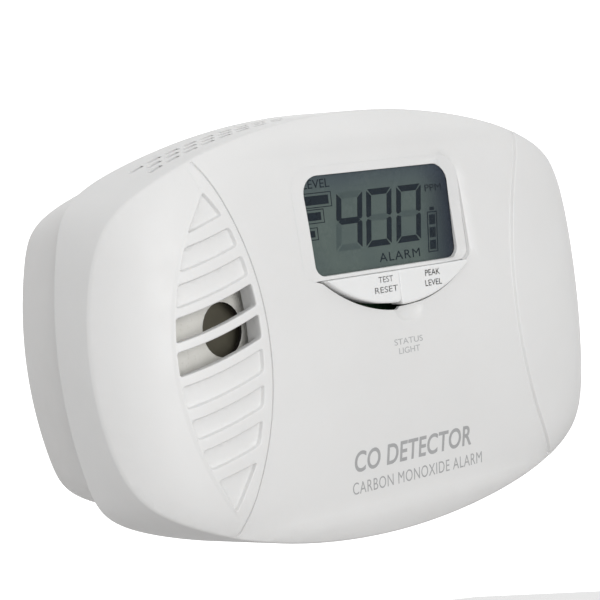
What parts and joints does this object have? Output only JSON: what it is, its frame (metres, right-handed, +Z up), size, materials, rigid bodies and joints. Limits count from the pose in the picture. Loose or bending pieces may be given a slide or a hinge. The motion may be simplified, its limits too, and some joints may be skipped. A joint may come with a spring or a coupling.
{
  "type": "carbon monoxide detector",
  "caption": "Wall-mounted carbon monoxide detector: domed white case, louvred horn grille, recessed segmented display over half-moon keys, rear battery door and hook-on bracket.",
  "frame": {"origin": "centre of the wall bracket's rear face, on the wall plane", "axes": "+X to the right as seen from the front, along the width; +Y from the alarm towards the wall; +Z up"},
  "size_m": [0.158, 0.0635, 0.1098],
  "materials": {
    "shell_front": "warm white ABS, fine satin grain",
    "shell_rear": "warm white ABS, satin",
    "key_plastic": "white ABS, smooth satin",
    "bracket_plastic": "white ABS, matt",
    "carrier_plastic": "white moulded plastic",
    "chamber_plastic": "off-white moulded plastic",
    "clear_window": "clear polished acrylic",
    "lcd_cell": "dark slate liquid crystal cell behind a polariser",
    "elastomer": "pink silicone connector strip",
    "board": "green solder mask",
    "component_black": "black moulded component",
    "led_lens": "diffused red LED epoxy",
    "sensor_metal": "nickel-plated can",
    "brass": "brass bender plate",
    "ceramic": "silvered piezo ceramic",
    "cell_wrap": "plain dark cell wrapper",
    "contact_steel": "nickel-plated spring steel",
    "screw_steel": "zinc-plated steel"
  },
  "bodies": {
    "wall_bracket": {"wall_bracket": "bracket_plastic"},
    "alarm": {"alarm_led": "led_lens", "battery_cell_1": "cell_wrap", "battery_cell_2": "cell_wrap", "battery_cell_3": "cell_wrap", "battery_contact_left": "contact_steel", "battery_contact_right": "contact_steel", "capacitor_main": "component_black", "capacitor_small": "component_black", "case_screw_1": "screw_steel", "case_screw_2": "screw_steel", "case_screw_3": "screw_steel", "case_screw_4": "screw_steel", "display_bezel": "shell_front", "display_window": "clear_window", "front_cover": "shell_front", "horn_baffle": "component_black", "horn_ceramic": "ceramic", "horn_chamber": "chamber_plastic", "horn_disc": "brass", "horn_driver_coil": "component_black", "lcd_frame": "carrier_plastic", "lcd_glass": "lcd_cell", "lcd_strip_bottom": "elastomer", "lcd_strip_top": "elastomer", "main_board": "board", "microcontroller": "component_black", "peak_switch": "component_black", "rear_housing": "shell_rear", "sensor_can": "sensor_metal", "sensor_cap": "carrier_plastic", "test_switch": "component_black"},
    "battery_door": {"battery_door": "shell_rear"},
    "test_key": {"test_button": "key_plastic", "test_plunger": "component_black"},
    "peak_key": {"peak_button": "key_plastic", "peak_plunger": "component_black"}
  },
  "joints": [
    {"name": "bracket_lift", "type": "slide", "parent": "wall_bracket", "child": "alarm", "axis": [0, 0, 1], "range_m": [0, 0.008]},
    {"name": "battery_door_hinge", "type": "hinge", "parent": "alarm", "child": "battery_door", "pos_m": [0, -0.004, -0.0252], "axis": [1, 0, 0], "range_deg": [0, 95]},
    {"name": "test_press", "type": "slide", "parent": "alarm", "child": "test_key", "axis": [0, 1, 0], "range_m": [0, 0.0009], "stiffness_N_per_m": 600},
    {"name": "peak_press", "type": "slide", "parent": "alarm", "child": "peak_key", "axis": [0, 1, 0], "range_m": [0, 0.0009], "stiffness_N_per_m": 600}
  ]
}
